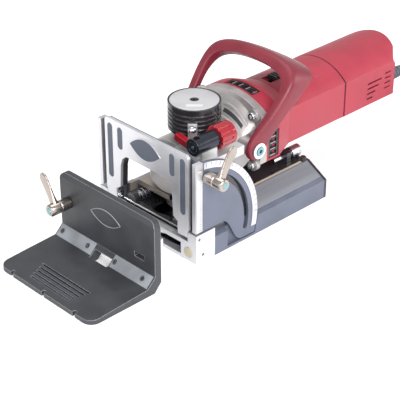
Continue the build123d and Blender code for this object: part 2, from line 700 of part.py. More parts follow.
# --- bow handle -------------------------------------------------------------------------------------
def handle():
    front = Plane(origin=BOW_FRONT, x_dir=(0, -1, 0), z_dir=(-0.757, 0, 0.654))
    outer = BOW_OUTER + [(-x, y) for x, y in reversed(BOW_OUTER[:-1])]
    inner = BOW_INNER + [(-x, y) for x, y in reversed(BOW_INNER[:-1])]
    edges = [Spline(*outer), Line(outer[-1], inner[-1]), Spline(*reversed(inner)), Line(inner[0], outer[0])]
    bow = extrude(front * make_face(edges), BOW_DEPTH, dir=BOW_BACK)
    bow -= grip_opening(front)
    profile = Plane(origin=BOW_FRONT, x_dir=BOW_BACK, z_dir=(0, -1, 0))
    outline = [(0, 4.5), (23, 4.5), (17.5, 20), (16.4, 34), (16.6, 50), (18.6, 60), (23, 73.5)]
    outline += [(31, 89), (38, 99), (39, 104), (0, 104)]
    leg = make_face(Polyline(*outline, close=True)) + Pos(12.4, 4.5) * Circle(12.4)
    bow &= extrude(profile * leg, 80, both=True)
    for sign in (1, -1):
        bow -= rod_y(PIVOT[0], side((40, 60), sign), PIVOT[1], 3.2)
        bow -= rod_y(PIVOT[0], side((52.5, 60), sign), PIVOT[1], 8.3)
    return bow


def grip_opening(front):
    """Flared space behind the straight part of the bow's inner edge."""
    faces = []
    for depth, wide, tall in ((BOW_STRAIGHT, 1, 1), (BOW_DEPTH + 1, *BOW_FLARE)):
        points = [(x * wide, y * tall) for x, y in BOW_INNER]
        points += [(-x, y) for x, y in reversed(points[:-1])]
        outline = [Spline(*points), Line(points[-1], points[0])]
        faces.append(front * Pos(0, 0, -depth) * make_face(outline))
    return loft(faces)


def handle_screws():
    """Washer and screw head on each leg of the handle."""
    screws = []
    for sign in (1, -1):
        screw = rod_y(PIVOT[0], side((44, 53.2), sign), PIVOT[1], 3)
        screw += rod_y(PIVOT[0], side((52.6, 54.2), sign), PIVOT[1], 8)
        screw += rod_y(PIVOT[0], side((54.2, 55.6), sign), PIVOT[1], 4.6)
        place = Pos(PIVOT[0], sign * 55, PIVOT[1]) * Rot(90, 0, 0)
        screws.append(screw - place * extrude(RegularPolygon(2.2, 6), 2, both=True))
    return screws


# --- depth turret and height drive --------------------------------------------------------------------
def turret():
    low, high = TURRET_Z
    body = rod_z(TURRET_X, 0, (low + 6, high), TURRET_R)
    body += Pos(TURRET_X, 0, low + 3) * Cone(TURRET_R - 5, TURRET_R, 6)
    for step in range(5):
        z = low + 9.6 + step * 4.6
        groove = rod_z(TURRET_X, 0, (z - 0.8, z + 0.8), TURRET_R + 1)
        body -= groove - rod_z(TURRET_X, 0, (z - 1, z + 1), TURRET_R - 1.4)
    body -= rod_z(TURRET_X, 0, (high - 0.7, high + 1), TURRET_R - 1.6)
    return body - rod_z(TURRET_X, 0, (low - 1, high + 1), 4 + RUN)


def turret_bolt():
    bolt = rod_z(TURRET_X, 0, (HEAD_TOP - 2.9, TURRET_Z[1] - 0.2), 4)
    socket = Pos(TURRET_X, 0, TURRET_Z[1] - 2) * extrude(RegularPolygon(2.2, 6), 4)
    return bolt - socket


def turret_pin():
    """Ball-ended index pin that points at the turret's axis."""
    pin = Pos(0, 0, TAB_R + 5.6) * Sphere(4.2)
    pin += Pos(0, 0, TAB_R + 2.3) * Cylinder(2, 7.4)
    return pin_place() * pin


def pin_place():
    return Plane(origin=(TURRET_X, 0, PIN_Z), x_dir=(0, 0, 1), z_dir=PIN_OUT).location


def drive_bracket():
    """Light grey saddle for the height drive, with the index plate and the pin's tab."""
    body = block((30, 86), (-48, -29.2), (80, 89.5)) + block((32, 52), (-45, -33), (89.5, 101))
    body += block((29, 52), (-41, -10), (92.1, 94.4))
    body += pin_place() * Pos(-8.5, 0, TAB_R) * Box(25, 9, 1.6)
    body -= rod_z(TURRET_X, 0, (91.9, 130), TURRET_R + 0.6)
    body -= rod_x((20, 60), DRIVE_Y, DRIVE_Z, SLEEVE_R + RUN)
    return body - pin_place() * Pos(0, 0, 29) * Cylinder(2 + RUN, 12)


def drive_sleeve():
    """Dark sleeve of the height drive, slotted at the front for the red lever."""
    sleeve = rod_x((DRIVE_FRONT, 53.5), DRIVE_Y, DRIVE_Z, SLEEVE_R)
    sleeve -= rod_x((DRIVE_FRONT - 1, 33.2), DRIVE_Y, DRIVE_Z, 5.6)
    sleeve -= rod_x((33, 54), DRIVE_Y, DRIVE_Z, 3 + RUN)
    sector = [(0.5, -9.4)]
    for angle in (-40, 0, 40, 75, 95):
        turn = math.radians(angle)
        sector.append((15 * math.cos(turn), 15 * math.sin(turn)))
    sector.append((-4.6, 0))
    cut = plate_yz([(DRIVE_Y + y, DRIVE_Z + z) for y, z in sector], (DRIVE_FRONT + 1.2, 32.8))
    return sleeve - cut


def drive_lever():
    """Red lever on a hub inside the sleeve."""
    hub = rod_x((DRIVE_FRONT + 1.6, 32.4), DRIVE_Y, DRIVE_Z, 5.2)
    arm = Pos(DRIVE_FRONT + 4.7, 15, -3.8) * Box(5.8, 24, 7)
    arm = fillet(arm.edges().filter_by(Axis.X).group_by(Axis.Y)[-1], 2)
    return hub + Pos(0, DRIVE_Y, DRIVE_Z) * Rot(11, 0, 0) * arm


def drive_knob():
    """Ribbed red knob of the height drive with its shaft."""
    knob = rod_x((54, 72.5), DRIVE_Y, DRIVE_Z, KNOB_R)
    for step in range(12):
        flute = Pos(60, 0, 0) * Rot(step * 30, 0, 0) * Pos(0, 0, KNOB_R + 0.6)
        flute = flute * Rot(0, 90, 0) * Cylinder(1.6, 17)
        knob -= Pos(0, DRIVE_Y, DRIVE_Z) * flute
    return knob + rod_x((34, 54.5), DRIVE_Y, DRIVE_Z, 3)


# --- switch, rear stop, cord ------------------------------------------------------------------------
def switch_slider():
    slider = block((173, 185), (-5.5, 5.5), (SWITCH_Z, SWITCH_Z + 2.8))
    for step in range(3):
        x = 174.5 + step * 3.6
        slider += block((x, x + 1.7), (-5.5, 5.5), (SWITCH_Z + 2.8, SWITCH_Z + 4.6))
    return slider + block((176, 182), (-2.8, 2.8), (SWITCH_Z - 4.6, SWITCH_Z + 0.1))


def stop_screw():
    head = rod_x((170.5, 183.5), STOP_Y, STOP_Z, 6.5)
    for step in range(5):
        x = 172 + step * 2.2
        head -= rod_x((x, x + 0.9), STOP_Y, STOP_Z, 7) - rod_x((x, x + 0.9), STOP_Y, STOP_Z, 5.8)
    return head + rod_x((146, 171), STOP_Y, STOP_Z, 3)


def strain_relief():
    cone = Pos(CORD_X0 + RELIEF_L / 2, CORD_Y, CORD_Z) * Rot(0, 90, 0) * Cone(7.9, 5.6, RELIEF_L)
    return cone - rod_x((CORD_X0 + 4, CORD_X0 + RELIEF_L + 1), CORD_Y, CORD_Z, CORD_R)


def cord():
    """Free stretch from the sleeve down onto the coil, and the short tail to the plug."""
    points = [Vector(*point) for point in CORD_ROUTE]
    radii = []
    for before, corner, after in zip(points, points[1:], points[2:]):
        turn = math.radians((corner - before).get_angle(after - corner))
        shorter = min((corner - before).length, (after - corner).length)
        radii.append(0.45 * shorter / math.tan(turn / 2))
    path = FilletPolyline(*points, radius=radii)
    tube = sweep(Plane(path @ 0, z_dir=path % 0) * Circle(CORD_R), path)
    print("cord radii", [round(r, 1) for r in radii], "length", round(path.length, 1))
    print("cord volume ratio", round(tube.volume / (math.pi * CORD_R ** 2 * path.length), 4))
    return [tube, rod_x((PLUG_X - 4, PLUG_X + 18), PLUG_Y, PLUG_R, CORD_R)]


def cord_coil():
    ring = rod_z(COIL_X, COIL_Y, (0, COIL_H), COIL_OUT)
    return ring - rod_z(COIL_X, COIL_Y, (-1, COIL_H + 1), COIL_IN)


def plug():
    """Generic two-pin plug with its tapered cable sleeve."""
    body = Pos(PLUG_X - 12, PLUG_Y, PLUG_R) * Rot(0, -90, 0) * Cone(5.4, 8, 24)
    body -= rod_x((PLUG_X - 4, PLUG_X + 1), PLUG_Y, PLUG_R, CORD_R)
    body += rod_x((PLUG_X - 56, PLUG_X - 24), PLUG_Y, PLUG_R, PLUG_R)
    for sign in (1, -1):
        body += rod_x((PLUG_X - 75, PLUG_X - 55), PLUG_Y + sign * PIN_SPACING / 2, PLUG_R, PIN_R)
    return body


NODES = {
    "base_plate": base_plate(),
    "base_front": base_front(),
    "end_block_left": end_block(1),
    "end_block_right": end_block(-1),
    "side_beam_left": side_beam(1),
    "side_beam_right": side_beam(-1),
    "side_plates": [side_plate(1), side_plate(-1)],
    "blade_guard": blade_guard(),
    "base_cover": base_cover(),
    "base_rear": base_rear(),
    "guide_rods": guide_rods(),
    "return_springs": [return_spring(1), return_spring(-1)],
    "grip_pads": grip_pads(),
    "hinge_pins": hinge_pins(),
    "clamp_plate": clamp_plate(),
    "clamp_stud": clamp_stud(),
    "fence_frame": fence_frame(),
    "fence_back": fence_back(),
    "fence_inserts": fence_inserts(),
    "fence_rails": fence_rails(),
    "quadrant": quadrant(),
    "quadrant_scale": quadrant_scale(),
    "height_scale": height_scale(),
    "clamp_lever": clamp_lever(),
    "stop_square": stop_square(),
    "square_hook": square_hook(),
    "square_jaw": square_jaw(),
    "square_lever": square_lever(),
    "blade": blade(),
    "spindle": spindle(),
    "blade_nut": blade_nut(),
    "bevel_gear": bevel_gear(),
    "motor_shaft": motor_shaft(),
    "armature_core": armature_core(),
    "fan": fan(),
    "stator": stator(),
    "brushes": brushes(),
    "bearings": bearings(),
    "carriage": carriage(),
    "gear_housing": gear_housing(),
    "gear_screws": gear_screws(),
    "front_housing": front_housing(),
    "vent_grilles": vent_grilles(),
    "rear_housing": rear_housing(),
    "handle": handle(),
    "handle_screws": handle_screws(),
    "turret": turret(),
    "turret_bolt": turret_bolt(),
    "turret_pin": turret_pin(),
    "drive_bracket": drive_bracket(),
    "drive_sleeve": drive_sleeve(),
    "drive_lever": drive_lever(),
    "drive_knob": drive_knob(),
    "switch_slider": switch_slider(),
    "stop_screw": stop_screw(),
    "strain_relief": strain_relief(),
    "cord": cord(),
    "cord_coil": cord_coil(),
    "plug": plug(),
}

for name, shape in NODES.items():
    save(name, shape)
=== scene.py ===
"""Looks of the biscuit joiner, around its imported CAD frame. Metres; X from the working face, Z up."""
import json
import math

import bmesh
import bpy
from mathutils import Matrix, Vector


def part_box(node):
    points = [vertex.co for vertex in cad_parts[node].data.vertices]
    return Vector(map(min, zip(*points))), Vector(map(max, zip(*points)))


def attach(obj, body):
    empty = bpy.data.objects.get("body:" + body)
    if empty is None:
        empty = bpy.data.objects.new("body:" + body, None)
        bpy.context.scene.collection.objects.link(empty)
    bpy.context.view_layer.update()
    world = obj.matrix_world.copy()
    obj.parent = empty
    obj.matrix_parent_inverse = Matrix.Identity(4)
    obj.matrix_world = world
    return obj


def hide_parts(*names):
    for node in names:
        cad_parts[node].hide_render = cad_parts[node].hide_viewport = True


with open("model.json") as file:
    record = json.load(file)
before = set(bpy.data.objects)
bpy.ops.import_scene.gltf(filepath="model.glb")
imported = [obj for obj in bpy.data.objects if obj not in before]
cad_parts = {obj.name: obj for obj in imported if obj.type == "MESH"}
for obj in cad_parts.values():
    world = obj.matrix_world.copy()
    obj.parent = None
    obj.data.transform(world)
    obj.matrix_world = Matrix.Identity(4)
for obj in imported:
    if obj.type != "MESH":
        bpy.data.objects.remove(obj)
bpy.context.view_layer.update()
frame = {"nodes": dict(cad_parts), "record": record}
MM = 0.001
NODES = frame["nodes"]

# --- sizes that the looks share with the frame ----------------------------------------------------
FENCE_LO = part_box("fence_frame")[0]
SCALE_LO, SCALE_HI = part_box("height_scale")
QUAD_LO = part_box("quadrant_scale")[0]
TURRET_LO, TURRET_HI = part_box("turret")
BEAM_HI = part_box("side_beam_right")[1]
COIL_LO, COIL_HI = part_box("cord_coil")
PLUG_LO, PLUG_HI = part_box("plug")
RELIEF_LO, RELIEF_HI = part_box("strain_relief")
FRONT_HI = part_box("front_housing")[1]

HINGE = Vector((3.5 * MM, 0, 28 * MM))
CORD_D = 8 * MM


# --- materials ------------------------------------------------------------------------------------
def shader(name):
    """A new material with its node tree and its Principled shader."""
    material = bpy.data.materials.new(name)
    material.use_nodes = True
    tree = material.node_tree
    principled = tree.nodes["Principled BSDF"]
    return material, tree, principled


def linked(tree, kind, settings, inputs):
    """Adds a node, sets its properties, and sets or links its inputs."""
    node = tree.nodes.new(kind)
    for key, value in settings.items():
        setattr(node, key, value)
    for key, value in inputs.items():
        if isinstance(value, bpy.types.NodeSocket):
            tree.links.new(value, node.inputs[key])
        else:
            node.inputs[key].default_value = value
    return node


def noise(tree, coordinates, scale, detail, stretch=(1, 1, 1)):
    """Noise over the object's coordinates, drawn out by stretch, as a value near 0.5."""
    mapped = linked(tree, "ShaderNodeMapping", {}, {"Vector": coordinates, "Scale": stretch})
    inputs = {"Vector": mapped.outputs[0], "Scale": scale, "Detail": detail}
    return linked(tree, "ShaderNodeTexNoise", {}, inputs).outputs[0]


def spread(tree, value, low, high, start=0.35, end=0.65):
    """Maps a value between start and end to the range low to high."""
    inputs = {"Value": value, "From Min": start, "From Max": end, "To Min": low, "To Max": high}
    return linked(tree, "ShaderNodeMapRange", {}, inputs).outputs[0]


def blended(tree, factor, first, second):
    """Mix of two colours by a factor."""
    node = linked(tree, "ShaderNodeMix", {"data_type": "RGBA"}, {0: factor, 6: first, 7: second})
    return node.outputs[2]


def grown(colour, gain):
    """The colour made lighter or darker, as RGBA."""
    return (*[min(1.0, c * gain) for c in colour], 1.0)


def finish_of(name, colour, rough, metallic=0.0, grain=900.0, depth=0.1, mottle=0.12, wear_and_sheen=0.0,
              wear_and_sheen_colour=(0.75, 0.75, 0.76), soften=0.5, stretch=(1, 1, 1), coat=0.0, spots=0.0,
              glow=0.0):
    """One surface: mottled colour, uneven gloss, a fine grain, rounded edges, and lighter edges that are
    partly wear and partly painted edge highlight.

    grain is the scale of the bump in cycles a metre, depth its strength, mottle the share by which
    the colour varies, the edge amount how far the edges lighten towards the edge colour (edge wear, and on
    the stop square partly a painted edge highlight), soften the edge radius in mm,
    spots the share of tiny dark specks and glow the light the surface gives off."""
    material, tree, principled = shader(name)
    principled.inputs["Emission Color"].default_value = (1.0, 1.0, 1.0, 1.0)
    principled.inputs["Emission Strength"].default_value = glow
    place = linked(tree, "ShaderNodeTexCoord", {}, {}).outputs["Object"]
    broad = noise(tree, place, 38.0, 4.0, stretch)
    fine = noise(tree, place, grain, 4.0, stretch)
    colours = blended(tree, spread(tree, broad, 0, 1), grown(colour, 1 - mottle), grown(colour, 1 + mottle))
    if spots:
        speck = spread(tree, noise(tree, place, grain * 0.8, 1.0), 0.0, spots, 0.56, 0.7)
        colours = blended(tree, speck, colours, grown(colour, 0.35))
    rounded = linked(tree, "ShaderNodeBevel", {"samples": 4}, {"Radius": soften * MM})
    # Lighter edges from the rounded-normal mask: edge wear, and on some finishes, such as the stop square, a
    # painted edge highlight.
    if wear_and_sheen:
        true_normal = linked(tree, "ShaderNodeNewGeometry", {}, {}).outputs["True Normal"]
        facing = linked(tree, "ShaderNodeVectorMath", {"operation": "DOT_PRODUCT"},
                        {0: rounded.outputs[0], 1: true_normal}).outputs["Value"]
        edge = spread(tree, facing, wear_and_sheen, 0.0, 0.82, 0.985)
        wear_and_sheen_mask = linked(tree, "ShaderNodeMath", {"operation": "MULTIPLY"},
                        {0: edge, 1: spread(tree, fine, 0.55, 1.0)}).outputs[0]
        colours = blended(tree, wear_and_sheen_mask, colours, (*wear_and_sheen_colour, 1.0))
    tree.links.new(colours, principled.inputs["Base Color"])
    tree.links.new(spread(tree, broad, rough * 0.82, min(1.0, rough * 1.22)), principled.inputs["Roughness"])
    bump = linked(tree, "ShaderNodeBump", {}, {"Height": fine, "Strength": depth, "Distance": 0.15 * MM,
                                               "Normal": rounded.outputs[0]})
    tree.links.new(bump.outputs[0], principled.inputs["Normal"])
    principled.inputs["Metallic"].default_value = metallic
    principled.inputs["Coat Weight"].default_value = coat
    return material


ALONG = (0.04, 1, 1)
FINISHES = {
    "silver_alloy": dict(colour=(0.66, 0.66, 0.69), rough=0.34, metallic=0.75, grain=2600, depth=0.12,
                         mottle=0.05, wear_and_sheen=0.5, wear_and_sheen_colour=(0.97, 0.97, 0.97), soften=0.5),
    "slate_coat": dict(colour=(0.128, 0.143, 0.192), rough=0.48, metallic=0.25, grain=3200, depth=0.55,
                       mottle=0.10, wear_and_sheen=0.55, wear_and_sheen_colour=(0.42, 0.45, 0.52), soften=0.5, spots=0.12),
    "brushed_plate": dict(colour=(0.33, 0.345, 0.385), rough=0.34, metallic=0.9, grain=2400, depth=0.25,
                          mottle=0.22, stretch=ALONG, soften=0.3),
    "dark_plate": dict(colour=(0.052, 0.050, 0.056), rough=0.14, metallic=0.5, grain=1200, depth=0.06,
                       mottle=0.2, wear_and_sheen=0.3, wear_and_sheen_colour=(0.3, 0.3, 0.32), coat=0.3),
    "bright_steel": dict(colour=(0.70, 0.71, 0.73), rough=0.20, metallic=1.0, grain=1800, depth=0.08,
                         mottle=0.08, wear_and_sheen=0.4, wear_and_sheen_colour=(0.95, 0.95, 0.95), soften=0.3),
    "spring_steel": dict(colour=(0.40, 0.40, 0.42), rough=0.34, metallic=1.0, grain=2000, depth=0.1),
    "insert_grey": dict(colour=(0.078, 0.092, 0.125), rough=0.5, grain=3000, depth=0.25, soften=0.4),
    "grip_pad": dict(colour=(0.56, 0.49, 0.37), rough=0.85, grain=2600, depth=0.5, mottle=0.1, spots=0.2),
    "nickel": dict(colour=(0.42, 0.37, 0.335), rough=0.27, metallic=1.0, grain=1500, depth=0.07,
                   mottle=0.07, wear_and_sheen=0.5, wear_and_sheen_colour=(0.80, 0.77, 0.72), soften=0.7),
    # The square's light bluish edges are partly edge wear and partly painted edge highlight.
    "square_cast": dict(colour=(0.052, 0.054, 0.060), rough=0.46, metallic=0.35, grain=2800, depth=0.6,
                        mottle=0.14, wear_and_sheen=0.9, wear_and_sheen_colour=(0.50, 0.53, 0.60), soften=1.0, spots=0.15),
    "grey_cast": dict(colour=(0.47, 0.445, 0.44), rough=0.42, metallic=0.6, grain=1500, depth=0.3,
                      mottle=0.14, wear_and_sheen=0.35, wear_and_sheen_colour=(0.78, 0.77, 0.75), soften=1.2),
    "red_shell": dict(colour=(0.355, 0.030, 0.052), rough=0.42, grain=4200, depth=0.22, mottle=0.06,
                      wear_and_sheen=0.25, wear_and_sheen_colour=(0.72, 0.20, 0.26), soften=1.0),
    "red_grip": dict(colour=(0.185, 0.016, 0.030), rough=0.40, grain=4200, depth=0.28, mottle=0.08,
                     wear_and_sheen=0.25, wear_and_sheen_colour=(0.55, 0.13, 0.19), soften=1.0),
    "red_control": dict(colour=(0.33, 0.006, 0.016), rough=0.16, grain=1500, depth=0.06, mottle=0.08,
                        wear_and_sheen=0.6, wear_and_sheen_colour=(0.75, 0.42, 0.45), soften=0.5, coat=0.5),
    "black_plastic": dict(colour=(0.020, 0.019, 0.022), rough=0.30, grain=2200, depth=0.12, mottle=0.2,
                          wear_and_sheen=0.3, wear_and_sheen_colour=(0.22, 0.22, 0.24), soften=0.4),
    "dark_anodised": dict(colour=(0.042, 0.046, 0.060), rough=0.2, metallic=0.7, grain=1800, depth=0.08,
                          mottle=0.12, wear_and_sheen=0.5, wear_and_sheen_colour=(0.5, 0.52, 0.56), soften=0.5),
    "laminations": dict(colour=(0.22, 0.22, 0.23), rough=0.5, metallic=0.9, grain=900, depth=0.4,
                        stretch=(6, 0.1, 0.1)),
    "fan_plastic": dict(colour=(0.09, 0.09, 0.09), rough=0.5, grain=1500, depth=0.2),
    "carbon": dict(colour=(0.045, 0.045, 0.045), rough=0.6, grain=2500, depth=0.3, spots=0.2),
    "cord_rubber": dict(colour=(0.085, 0.105, 0.130), rough=0.50, grain=3000, depth=0.2, mottle=0.08,
                        soften=0.4),
    "label_grey": dict(colour=(0.56, 0.56, 0.58), rough=0.34, metallic=0.35, grain=1500, depth=0.05,
                       mottle=0.06, soften=0.3),
    "label_pale": dict(colour=(0.66, 0.64, 0.68), rough=0.42, grain=1500, depth=0.05, mottle=0.05),
    "white_mark": dict(colour=(0.80, 0.80, 0.81), rough=0.42, grain=1500, depth=0.05, mottle=0.05),
    "dark_mark": dict(colour=(0.035, 0.036, 0.042), rough=0.5, grain=1500, depth=0.05, mottle=0.1),
    "teal_screw": dict(colour=(0.22, 0.38, 0.42), rough=0.30, metallic=1.0, grain=1500, depth=0.1,
                       mottle=0.15),
    "strip_steel": dict(colour=(0.34, 0.36, 0.39), rough=0.5, metallic=0.6, grain=1700, depth=0.7,
                        mottle=0.16, wear_and_sheen=0.4, wear_and_sheen_colour=(0.6, 0.62, 0.66), spots=0.25),
    "groove_brown": dict(colour=(0.17, 0.145, 0.13), rough=0.5, metallic=0.3, grain=1500, depth=0.2),
    "ring_black": dict(colour=(0.026, 0.024, 0.028), rough=0.2, metallic=0.4, grain=2200, depth=0.08,
                       mottle=0.2, wear_and_sheen=0.95, wear_and_sheen_colour=(0.36, 0.34, 0.36), soften=0.55),
    "ledge_beige": dict(colour=(0.36, 0.31, 0.27), rough=0.36, metallic=0.5, grain=1500, depth=0.15,
                        mottle=0.1, wear_and_sheen=0.4, wear_and_sheen_colour=(0.66, 0.62, 0.58), soften=0.4),
    "pale_cast": dict(colour=(0.68, 0.68, 0.69), rough=0.38, metallic=0.6, grain=1500, depth=0.2,
                      mottle=0.06, wear_and_sheen=0.3, wear_and_sheen_colour=(0.92, 0.92, 0.92), soften=0.6),
    "rib_grey": dict(colour=(0.42, 0.41, 0.43), rough=0.36, metallic=0.3, grain=1800, depth=0.1,
                     wear_and_sheen=0.4, wear_and_sheen_colour=(0.62, 0.62, 0.63), soften=0.3),
    "stone_floor": dict(colour=(0.95, 0.95, 0.952), rough=0.7, grain=300, depth=0.03, mottle=0.01, glow=0.25),
}
MATERIALS = {name: finish_of(name, **values) for name, values in FINISHES.items()}

FINISH_OF_NODE = {"drive_bracket": "pale_cast", "turret": "ring_black", "handle_screws": "teal_screw"}
for subpart in frame["record"]["subparts"]:
    node = NODES[subpart["node"]]
    node.data.materials.clear()
    node.data.materials.append(MATERIALS[FINISH_OF_NODE.get(subpart["node"], subpart["material_slot"])])


# --- mesh helpers ---------------------------------------------------------------------------------
def piece(name, made, body, finish, smooth=True, stands_for=()):
    """A mesh object from a bmesh, riding on a body, with its finish."""
    bmesh.ops.recalc_face_normals(made, faces=made.faces)
    mesh = bpy.data.meshes.new(name)
    made.to_mesh(mesh)
    made.free()
    mesh.materials.append(MATERIALS[finish])
    if smooth:
        mesh.shade_smooth()
        mesh.set_sharp_from_angle(angle=math.radians(34))
    obj = bpy.data.objects.new(name, mesh)
    bpy.context.scene.collection.objects.link(obj)
    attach(obj, body)
    if stands_for:
        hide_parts(*stands_for)
    return obj


def in_mm(points):
    """Points given in mm, as vectors in metres."""
    return [Vector(p) * MM for p in points]


def loop_of(made, points):
    return [made.verts.new(p) for p in points]


def bridge(made, first, second):
    """Quads between two closed loops of the same length."""
    count = len(first)
    for i in range(count):
        j = (i + 1) % count
        made.faces.new((first[i], first[j], second[j], second[i]))


def lofted(rings):
    """A closed skin through rings of points, with flat ends."""
    made = bmesh.new()
    loops = [loop_of(made, ring) for ring in rings]
    for first, second in zip(loops, loops[1:]):
        bridge(made, first, second)
    made.faces.new(loops[0])
    made.faces.new(list(reversed(loops[-1])))
    return made


def turned(profile, origin, axis, across, segments):
    """A body turned from (distance along axis, radius) points, in mm, with flat ends."""
    along = Vector(axis).normalized()
    first = Vector(across).normalized()
    second = along.cross(first)
    rings = []
    for distance, radius in profile:
        ring = []
        for i in range(segments):
            turn = 2 * math.pi * i / segments
            offset = first * math.cos(turn) + second * math.sin(turn)
            ring.append(Vector(origin) + along * (distance * MM) + offset * (radius * MM))
        rings.append(ring)
    return lofted(rings)


def swept_ring(profile, segments, place):
    """A ring-shaped body; place turns an offset and two distances across into a point."""
    made = bmesh.new()
    loops = []
    for offset, radius in profile:
        turns = [2 * math.pi * i / segments for i in range(segments)]
        loops.append(loop_of(made, [place(offset, radius * MM * math.cos(turn), radius * MM * math.sin(turn))
                                    for turn in turns]))
    for first, second in zip(loops, loops[1:] + loops[:1]):
        bridge(made, first, second)
    return made


def plate(outline, normal, thickness):
    """A flat plate: outline points in space, drawn out along the normal."""
    step = Vector(normal).normalized() * thickness
    return lofted([[Vector(p) for p in outline], [Vector(p) + step for p in outline]])


def eye_outline(half, height, steps=14):
    """An eye-shaped outline of two arcs that meet in points, as (across, up) pairs."""
    points = []
    for sign in (1, -1):
        for i in range(steps):
            t = -1 + 2 * i / steps
            points.append((sign * t * half, sign * height * (1 - t * t)))
    return points


def joined(parts):
    """One bmesh from several."""
    whole = bmesh.new()
    for part in parts:
        mesh = bpy.data.meshes.new("part")
        part.to_mesh(mesh)
        part.free()
        whole.from_mesh(mesh)
        bpy.data.meshes.remove(mesh)
    return whole


# --- fence: badge, scale ticks, grooves -----------------------------------------------------------
def badge():
    y0, z0 = 0.5 * MM, 97 * MM
    x = FENCE_LO.x
    outer = [(x, y0 + y, z0 + z) for y, z in eye_outline(22.2 * MM, 11.4 * MM)]
    inner = [(x - 0.25 * MM, y0 + y, z0 + z) for y, z in eye_outline(21.2 * MM, 10.5 * MM)]
    piece("fence_badge_rim", plate(outer, (-1, 0, 0), 0.5 * MM), "fence", "silver_alloy")
    piece("fence_badge", plate(inner, (-1, 0, 0), 0.35 * MM), "fence", "insert_grey")


def tick(at, along, across, normal, length, width):
    """One engraved mark: a thin bar centred at a point on a surface."""
    a = Vector(along).normalized() * length / 2
    b = Vector(across).normalized() * width / 2
    start = Vector(at)
    return plate([start - a - b, start + a - b, start + a + b, start - a + b], normal, 0.12 * MM)


def height_ticks():
    marks = []
    count = 30
    for i in range(count):
        z = SCALE_LO.z + (2 + i * 64 / (count - 1)) * MM
        length = (3.6 if i % 5 == 0 else 2.2) * MM
        at = (SCALE_HI.x - 0.6 * MM - length / 2, SCALE_LO.y, z)
        marks.append(tick(at, (1, 0, 0), (0, 0, 1), (0, -1, 0), length, 0.3 * MM))
    piece("height_marks", joined(marks), "fence", "dark_mark", smooth=False)


def quadrant_ticks():
    marks = []
    rim = 79.4 * MM
    for i in range(19):
        angle = math.radians(83 - i * 4.6)
        length = (4.2 if i % 3 == 0 else 2.6) * MM
        out = Vector((math.cos(angle), 0, math.sin(angle)))
        at = HINGE + out * (rim - length / 2 - 0.5 * MM)
        at.y = QUAD_LO.y
        marks.append(tick(at, out, (-out.z, 0, out.x), (0, -1, 0), length, 0.35 * MM))
    piece("quadrant_marks", joined(marks), "fence", "dark_mark", smooth=False)


def fence_linings():
    """Brown bottoms of the side grooves, the dark lining of the window and its bright corner plates."""
    for sign, name in ((-1, "groove_right"), (1, "groove_left")):
        corners = [(7.3, 59.3, 34.2), (7.3, 64.4, 34.2), (7.3, 64.4, 107.4), (7.3, 59.3, 107.4)]
        points = in_mm([(x, sign * y, z) for x, y, z in corners])
        piece(name, plate(points, (-1, 0, 0), 0.25 * MM), "fence", "groove_brown")
    half = [(44.3, 37), (44.3, 38), (38.2, 41.5), (36.7, 66), (34.2, 74), (28.2, 78.9)]
    line = half + [(-y, z) for y, z in reversed(half)]
    rings = []
    for y, z in line:
        inward = Vector((0, -y, 52 - z)).normalized() * 0.6
        edge = [Vector((x, y, z)) + inward * share for x, share in ((3.4, 0), (8.9, 0), (8.9, 1), (3.4, 1))]
        rings.append([point * MM for point in edge])
    piece("window_lining", lofted(rings), "fence", "black_plastic")
    for sign, name in ((-1, "corner_plate_right"), (1, "corner_plate_left")):
        corners = [(0.3, 26), (8.8, 26), (8.8, 36.6), (0.3, 36.6)]
        points = in_mm([(x, sign * 44.35, z) for x, z in corners])
        piece(name, plate(points, (0, -sign, 0), 0.5 * MM), "fence", "bright_steel")


def window_ledges():
    """Light faces on the carriage's ledge, the arm beside it, and a bright steel rod along the bridge's front
    top edge as a painted highlight.
    """
    top = [(26, -5.2, 38.9), (26, 40.3, 38.9), (47.8, 40.3, 38.9), (47.8, 19.5, 38.9), (33.5, 19.5, 38.9),
           (31, 12, 38.9), (31, -5.2, 38.9)]
    cover = plate(in_mm(top), (0, 0, 1), 0.4 * MM)
    front = [(26, -5.2, 33.5), (26, 40.3, 33.5), (26, 40.3, 39.3), (26, -5.2, 39.3)]
    face = plate(in_mm(front), (-1, 0, 0), 0.4 * MM)
    piece("ledge_cover", joined([cover, face]), "motor_unit", "ledge_beige", smooth=False)
    arm = [(15.5, 41, 29), (25.2, 41, 29), (25.2, 41, 38.6), (15.5, 41, 38.6)]
    piece("ledge_arm", plate(in_mm(arm), (0, 1, 0), 2.0 * MM), "base", "ledge_beige")
    # Thin bright steel rod on the bridge's front top edge: a painted highlight line.
    bar = turned([(0, 0.1), (0, 0.8), (86, 0.8), (86, 0.1)],
                 Vector((8.7, -43, 24.0)) * MM, (0, 1, 0), (1, 0, 0), 20)
    piece("bridge_highlight", bar, "base", "bright_steel")


# --- base: rear rims ------------------------------------------------------------------------------
def beam_rims():
    """Black rims on the rear ends of the side beams."""
    x = BEAM_HI.x
    for sign, name in ((-1, "beam_rim_right"), (1, "beam_rim_left")):
        outline = [(51.6, 0.4), (70, 0.4), (70, 20.6), (45.2, 34.7), (41.2, 34.7), (41.2, 24.2), (51.6, 24.2)]
        points = [(x - 1.6 * MM, sign * y * MM, z * MM) for y, z in outline]
        centre = Vector((x, sign * 56 * MM, 16 * MM))
        grown_points = [centre + (Vector(p) - centre) * 1.012 for p in points]
        piece(name, plate(grown_points, (1, 0, 0), 3.0 * MM), "base", "black_plastic")


